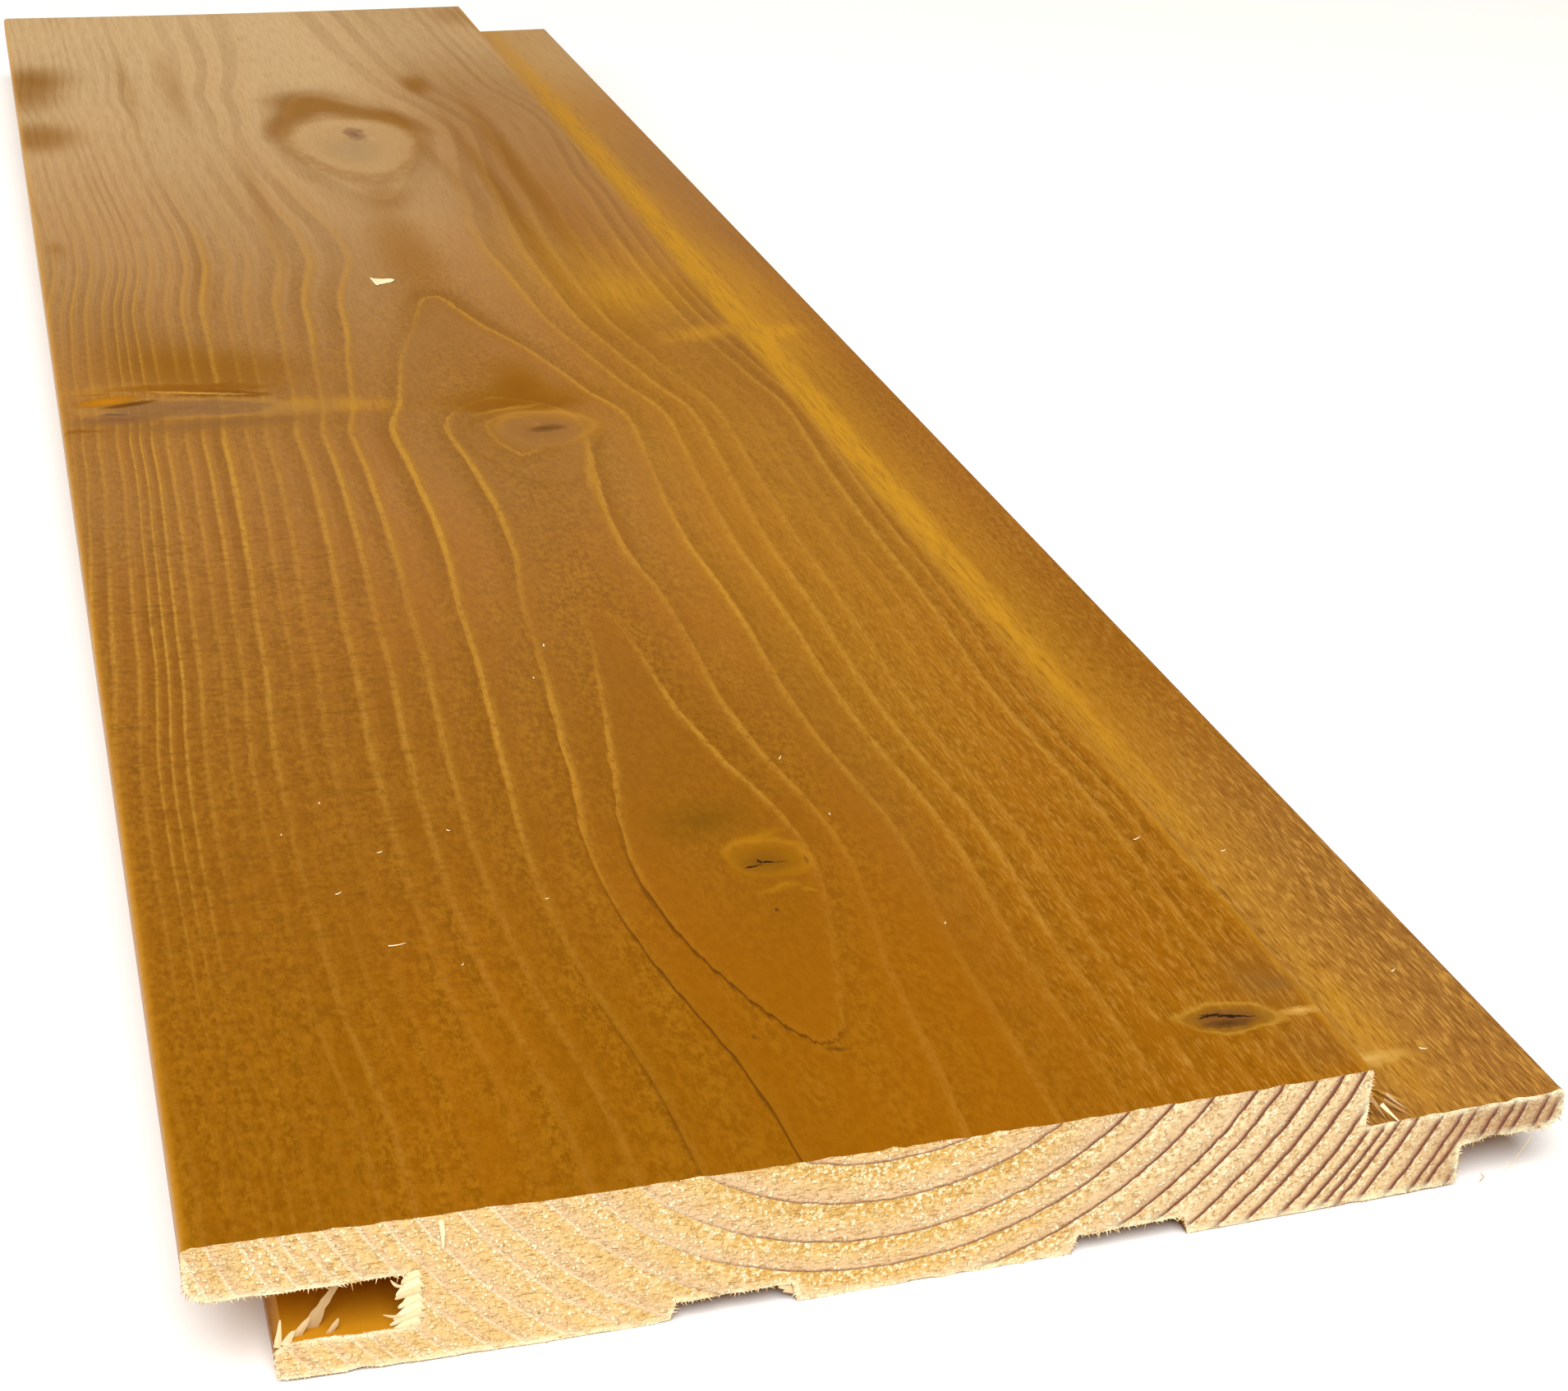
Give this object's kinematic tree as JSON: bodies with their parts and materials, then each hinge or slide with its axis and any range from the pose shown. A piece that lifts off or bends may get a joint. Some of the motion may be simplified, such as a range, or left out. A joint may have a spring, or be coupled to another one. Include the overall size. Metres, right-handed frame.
{
  "type": "sauna panel board",
  "caption": "Flat tongue-and-groove wall board with a face lip over its groove, a long tongue below a rebate, and shallow relief grooves in its back.",
  "frame": {"origin": "middle of the board's outline, on the level of its back pads", "axes": "+X across the board towards the tongue, +Y along the board and its grain, +Z out of the show face"},
  "size_m": [0.12, 0.435, 0.014],
  "materials": {
    "panel_board": "planed softwood with an amber-brown stain on its moulded faces, and raw sawn ends"
  },
  "bodies": {
    "root": {"panel_board": "panel_board"}
  },
  "joints": []
}
